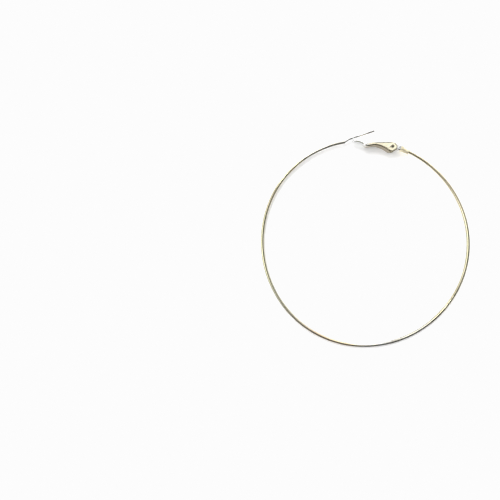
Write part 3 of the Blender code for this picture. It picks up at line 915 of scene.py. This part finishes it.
class EARRING_OT_clasp_bracket(bpy.types.Operator):
    """Make the crimped barrel and the two arms that hold the hinge pin"""
    bl_idname = "earring.clasp_bracket"
    bl_label = "Clasp bracket"

    def execute(self, context):
        clasp = context.scene.earring_clasp
        half_length = clasp.barrel_length / 2
        barrel_radius = clasp.barrel_diameter / 2

        bracket = new_cylinder("bracket", barrel_radius, clasp.barrel_length, BARREL_SIDES,
                               along_x=True)
        select(bracket, "EDGE", lambda start, end: abs(start.x - end.x) > half_length)
        bpy.ops.mesh.subdivide(number_cuts=BARREL_CUTS)
        bevel_edges(bracket, lambda start, end: start.x * end.x > 0
                    and min(abs(start.x), abs(end.x)) > half_length - MERGE_DISTANCE,
                    clasp.edge_radius * 1.6, steps=4)
        for side in (1, -1):
            mark = Vector((-0.1 * clasp.barrel_length, 0.0, side * barrel_radius))
            push = Vector((0.0, 0.0, -side * clasp.crimp_depth))
            press_mark(bracket, mark, push, barrel_radius)
        close_up(bracket)

        arms = pressed_channel("arms", self.rows(clasp), clasp.bracket_sheet)
        hole = pin_hole(clasp.width)
        hole.location = (clasp.pivot_reach, clasp.pivot_drop, 0.0)
        cut_or_join(arms, hole, "DIFFERENCE")
        round_edges(arms, clasp.edge_radius)
        cut_or_join(bracket, arms, "UNION")
        bore_radius = context.scene.earring_hoop.wire_diameter / 2 + clasp.crimp_gap
        bore = new_cylinder("bore", bore_radius, clasp.barrel_length * 1.5, along_x=True)
        cut_or_join(bracket, bore, "DIFFERENCE")

        def on_mouth(place):
            off_axis = math.hypot(place.y, place.z)
            return (place.x < MERGE_DISTANCE - half_length
                    and abs(off_axis - bore_radius) < 10 * MERGE_DISTANCE)

        bevel_edges(bracket, lambda start, end: on_mouth(start) and on_mouth(end),
                    clasp.edge_radius, steps=3)
        close_up(bracket)
        finish_piece(bracket, "plated_clasp_bracket", barrel_matrix(), "hoop", "clasp_bracket",
                     (bracket_metal(),))
        return {"FINISHED"}

    @staticmethod
    def rows(clasp):
        """The floor next to the barrel, with an arm on each side that runs on to the pin."""
        pivot = Vector((clasp.pivot_reach, clasp.pivot_drop, 0.0))
        foot_x = clasp.barrel_length / 2 - clasp.arm_overlap
        outer_foot = Vector((foot_x, -clasp.arm_foot / 2, 0.0))
        inner_foot = Vector((foot_x, clasp.arm_foot / 2, 0.0))
        outer_angle = tangent_angle(pivot, clasp.arm_radius, outer_foot, 1)
        inner_angle = tangent_angle(pivot, clasp.arm_radius, inner_foot, -1)
        sweep = (inner_angle - outer_angle) % (360 * DEG)
        round_end = arc(pivot, clasp.arm_radius, outer_angle, outer_angle + sweep, ROUND_STEPS)

        slope = (round_end[-1] - inner_foot).normalized()
        outward = Vector((slope.y, -slope.x, 0.0))
        reach = (round_end[-1] - inner_foot).length
        reach -= math.sqrt(clasp.floor_to_pivot ** 2 - clasp.arm_radius ** 2)
        sunk = outward * clasp.bracket_sheet / 2
        radius = clasp.bend_radius * 0.8
        bent = (clasp.arm_height - radius, radius * 90 * DEG, 90 * DEG)
        rows = []
        for step in range(WEB_STEPS + 1):
            share = step / WEB_STEPS
            web = inner_foot + slope * reach * share + sunk
            rows.append(Row(web, outward, outer_foot.lerp(round_end[0], share), *bent))
        rows.extend(Row(web, outward, edge, *bent) for edge in [*round_end[1:], None])
        return rows


class EARRING_OT_clasp_lever(bpy.types.Operator):
    """Press the lever: its curved web, its two cheeks and the fork that grips the post"""
    bl_idname = "earring.clasp_lever"
    bl_label = "Clasp lever"

    def execute(self, context):
        clasp = context.scene.earring_clasp
        line, grip, rise = self.web_line(clasp)
        lever = pressed_channel("lever", self.rows(clasp, line), clasp.lever_sheet)
        cut_or_join(lever, pin_hole(clasp.width * 2), "DIFFERENCE")
        notch = self.notch(context.scene.earring_hoop, clasp, grip, rise)
        cut_or_join(lever, notch, "DIFFERENCE")
        round_edges(lever, clasp.edge_radius)
        close_up(lever)
        finish_piece(lever, "pressed_clasp_lever", lever_matrix(), "lever", "clasp_lever",
                     (lever_metal(),))
        return {"FINISHED"}

    @staticmethod
    def web_line(clasp):
        """Middle line of the sheet from the hinge end to the tips of the prongs."""
        length = lever_length()
        to_lever = lever_matrix().inverted()
        grip, heading = grip_point()
        grip = to_lever @ grip
        heading = to_lever.to_3x3() @ heading
        rise = Vector((-heading.y, heading.x, 0.0))
        foot = grip - rise * clasp.flange_drop
        top = grip + rise * clasp.prong_rise
        stations = [Vector((along * length, inward * length, 0.0))
                    for along, inward in WEB_LINE_SHARES]
        line = smooth_line([*stations, foot], LINE_STEPS)
        bend = rounded_corner(stations[-1], foot, top, clasp.flange_bend, WEB_STEPS)
        kept = [point for point in line if point.x < bend[0].x]
        return kept + bend + [grip, top], grip, rise

    @staticmethod
    def rows(clasp, line):
        """The web from its heel to the fork, with a cheek on each side and its round nose."""
        length = lever_length()
        end = clasp.cheek_share * length
        radius = clasp.bend_radius
        bent = ((clasp.width - clasp.lever_sheet) / 2 - radius, radius * 90 * DEG, 90 * DEG)
        touch = -90 * DEG + clasp.cheek_slope
        shoulder = polar(clasp.ear_radius, touch)
        to_nose = polar(end - shoulder.x, clasp.cheek_slope) / math.cos(clasp.cheek_slope)
        nose = rounded_corner(shoulder, shoulder + to_nose, Vector((end, length, 0.0)),
                              clasp.nose_radius, NOSE_STEPS)

        heel = line[0]
        outward = -side_of(line, 0)
        ear = arc(Vector(), clasp.ear_radius, heading_of(heel + outward * radius) + 8 * DEG,
                  360 * DEG + touch, ROUND_STEPS)
        rows = [Row(heel, outward, edge, *bent) for edge in [None, *ear]]
        for point in line:
            if shoulder.x + ROW_SPACING < point.x < nose[0].x - ROW_SPACING:
                web, side = place_at(line, point.x)
                edge = place_at([shoulder, nose[0]], point.x)[0]
                rows.append(Row(web, -side, edge, *bent))
        for step, edge in enumerate([*nose[:-1], None]):
            web, side = place_at(line, nose[0].x + (end - nose[0].x) * step / NOSE_STEPS)
            rows.append(Row(web, -side, edge, *bent))

        opened = end + clasp.unroll_length
        places = [place_at(line, end + clasp.unroll_length * step / WEB_STEPS)
                  for step in range(1, WEB_STEPS + 1)]
        start = next(index for index, point in enumerate(line)
                     if point.x > opened + ROW_SPACING)
        places += [(line[index], side_of(line, index)) for index in range(start, len(line))]
        tail = 0.2 * MM
        for web, side in places:
            share = min((web.x - end) / clasp.unroll_length, 1.0)
            share = share * share * (3 - 2 * share)
            narrowing = min((web.x - end) / (length - end), 1.0)
            strip = clasp.strip_width + (clasp.fork_width - clasp.strip_width) * narrowing
            flat = bent[0] + (strip / 2 - tail - bent[0]) * share
            bend = bent[1] + (tail - bent[1]) * share
            rows.append(Row(web, -side, None, flat, bend, 90 * DEG * (1 - share)))
        return rows

    @staticmethod
    def notch(hoop, clasp, grip, rise):
        """A round bottom just wider than the post, opened out to the fork's mouth."""
        radius = hoop.post_diameter / 2 + clasp.fork_clearance
        notch = new_cylinder("notch", radius, 4 * clasp.lever_sheet, NOTCH_SIDES)
        top = clasp.prong_rise + clasp.lever_sheet
        opening = 60 * DEG
        spread = (radius + clasp.fork_mouth) / (radius * math.sin(opening))
        select(notch, "VERT", lambda place: place.x > radius * (math.cos(opening) - 0.01))
        bpy.ops.transform.resize(value=(0.0, spread, 1.0), center_override=(top, 0.0, 0.0))
        leave_edit()
        sideways = Vector((0.0, 0.0, 1.0))
        turn = Matrix((rise, sideways, rise.cross(sideways))).transposed().to_4x4()
        notch.matrix_world = Matrix.Translation(grip) @ turn
        return notch


class EARRING_OT_hinge_pin(bpy.types.Operator):
    """Make the rivet that the lever turns on"""
    bl_idname = "earring.hinge_pin"
    bl_label = "Hinge pin"

    def execute(self, context):
        clasp = context.scene.earring_clasp
        length = clasp.width - 2 * clasp.pin_recess
        pin = new_cylinder("pin", clasp.pin_diameter / 2, length)
        bevel_edges(pin, lambda start, end: start.z * end.z > 0
                    and abs(start.z) > length / 2 - MERGE_DISTANCE,
                    clasp.pin_rounding, steps=6)
        select(pin, "FACE", lambda normal: abs(normal.z) > 0.99)
        bpy.ops.mesh.inset(thickness=clasp.pin_diameter * 0.12, use_individual=True)
        leave_edit()
        for point in pin.data.vertices:
            if math.hypot(point.co.x, point.co.y) < clasp.pin_diameter * 0.2:
                point.co.z *= 1 - clasp.pin_dish / abs(point.co.z)
        close_up(pin)
        finish_piece(pin, "steel_hinge_pin", lever_matrix(), "hoop", "hinge_pin",
                     (pin_metal(),))
        return {"FINISHED"}


class EARRING_OT_stage(bpy.types.Operator):
    """Set the pale floor, the soft light and the camera straight above"""
    bl_idname = "earring.stage"
    bl_label = "Stage"

    def execute(self, context):
        stage = context.scene.earring_stage
        floor = add_object("pale_floor", bpy.ops.mesh.primitive_grid_add, size=FLOOR_SIZE,
                           x_subdivisions=8, y_subdivisions=8)
        floor.data.materials.append(paper_floor())
        for name, turn, slope, size, glow in PANELS:
            self.panel(name, turn * DEG, slope * DEG, size, getattr(stage, glow))
        self.room(context.scene, stage)

        place = (stage.camera_x, stage.camera_y, stage.camera_height)
        camera = add_object("overhead_camera", bpy.ops.object.camera_add, location=place)
        camera.data.lens = stage.lens
        camera.data.sensor_width = SENSOR_WIDTH
        camera.data.clip_start = NEAREST_SEEN
        context.scene.camera = camera
        view = context.scene.view_settings
        view.view_transform = "Standard"
        view.use_curve_mapping = True
        tone = view.curve_mapping.curves[3]
        tone.points[1].location = (1.0, stage.paper_white)
        for point in tone.points:
            point.handle_type = "VECTOR"
        view.curve_mapping.extend = "HORIZONTAL"
        view.curve_mapping.update()
        return {"FINISHED"}

    @staticmethod
    def panel(name, turn, slope, size, glow):
        """A soft panel that faces the earring, a way round it and down from overhead."""
        direction = polar(math.sin(slope), turn) + Vector((0.0, 0.0, math.cos(slope)))
        light = add_object(name, bpy.ops.object.light_add, type="AREA",
                           location=direction * PANEL_DISTANCE)
        light.rotation_mode = "QUATERNION"
        light.rotation_quaternion = direction.to_track_quat("Z", "Y")
        light.data.shape = "RECTANGLE"
        light.data.size, light.data.size_y = size
        light.data.energy = glow * math.pi * size[0] * size[1]
        light.visible_camera = False

    @staticmethod
    def room(scene, stage):
        """A dim room with two soft glows for the metal, and a pale backdrop for the camera."""
        world = bpy.data.worlds.new("pale_room")
        world.use_nodes = True
        scene.world = world
        nodes = Nodes(world.node_tree)
        seen_from = nodes.add("TexCoord").outputs["Generated"]
        total = stage.room_glow
        for turn, slope, tightness, glow in ROOM_GLOWS:
            middle = polar(math.sin(slope * DEG), turn * DEG)
            middle.z = math.cos(slope * DEG)
            near = nodes.vector("DOT_PRODUCT", seen_from, middle)
            away = nodes.times(nodes.math("SUBTRACT", near, 1.0), tightness)
            soft = nodes.times(nodes.math("EXPONENT", away), getattr(stage, glow))
            total = nodes.math("ADD", soft, total)
        room = world.node_tree.nodes["Background"]
        nodes.feed(room, {"Color": WHITE, "Strength": total})
        backdrop = nodes.add("Background", {"Color": WHITE, "Strength": 1.0})
        by_camera = nodes.add("LightPath").outputs["Is Camera Ray"]
        both = nodes.add("MixShader", {0: by_camera, 1: room.outputs[0],
                                       2: backdrop.outputs[0]})
        nodes.feed(world.node_tree.nodes["World Output"], {"Surface": both.outputs[0]})


class EARRING_PT_pieces(bpy.types.Panel):
    """Pieces and sizes of the hoop earring"""
    bl_idname = "EARRING_PT_pieces"
    bl_label = "Hoop earring"
    bl_space_type = "VIEW_3D"
    bl_region_type = "UI"
    bl_category = "Earring"

    def draw(self, context):
        layout = self.layout
        for operator in OPERATORS:
            layout.operator(operator.bl_idname)
        for name in GROUPS:
            box = layout.box()
            group = getattr(context.scene, name)
            for prop in group.bl_rna.properties:
                if not prop.is_readonly and prop.identifier != "name":
                    box.prop(group, prop.identifier)


GROUPS = {
    "earring_hoop": HoopSizes,
    "earring_clasp": ClaspSizes,
    "earring_finish": MetalFinish,
    "earring_stage": StageLight,
}
OPERATORS = (EARRING_OT_hoop_wire, EARRING_OT_clasp_bracket, EARRING_OT_clasp_lever,
             EARRING_OT_hinge_pin, EARRING_OT_stage)


def register():
    for kind in (*GROUPS.values(), *OPERATORS, EARRING_PT_pieces):
        bpy.utils.register_class(kind)
    for name, kind in GROUPS.items():
        setattr(bpy.types.Scene, name, bpy.props.PointerProperty(type=kind))


def unregister():
    for name in GROUPS:
        delattr(bpy.types.Scene, name)
    for kind in (EARRING_PT_pieces, *reversed(OPERATORS), *reversed(GROUPS.values())):
        bpy.utils.unregister_class(kind)


def main():
    register()
    bpy.ops.earring.hoop_wire()
    bpy.ops.earring.clasp_bracket()
    bpy.ops.earring.clasp_lever()
    bpy.ops.earring.hinge_pin()
    bpy.ops.earring.stage()


if __name__ == "__main__":
    main()
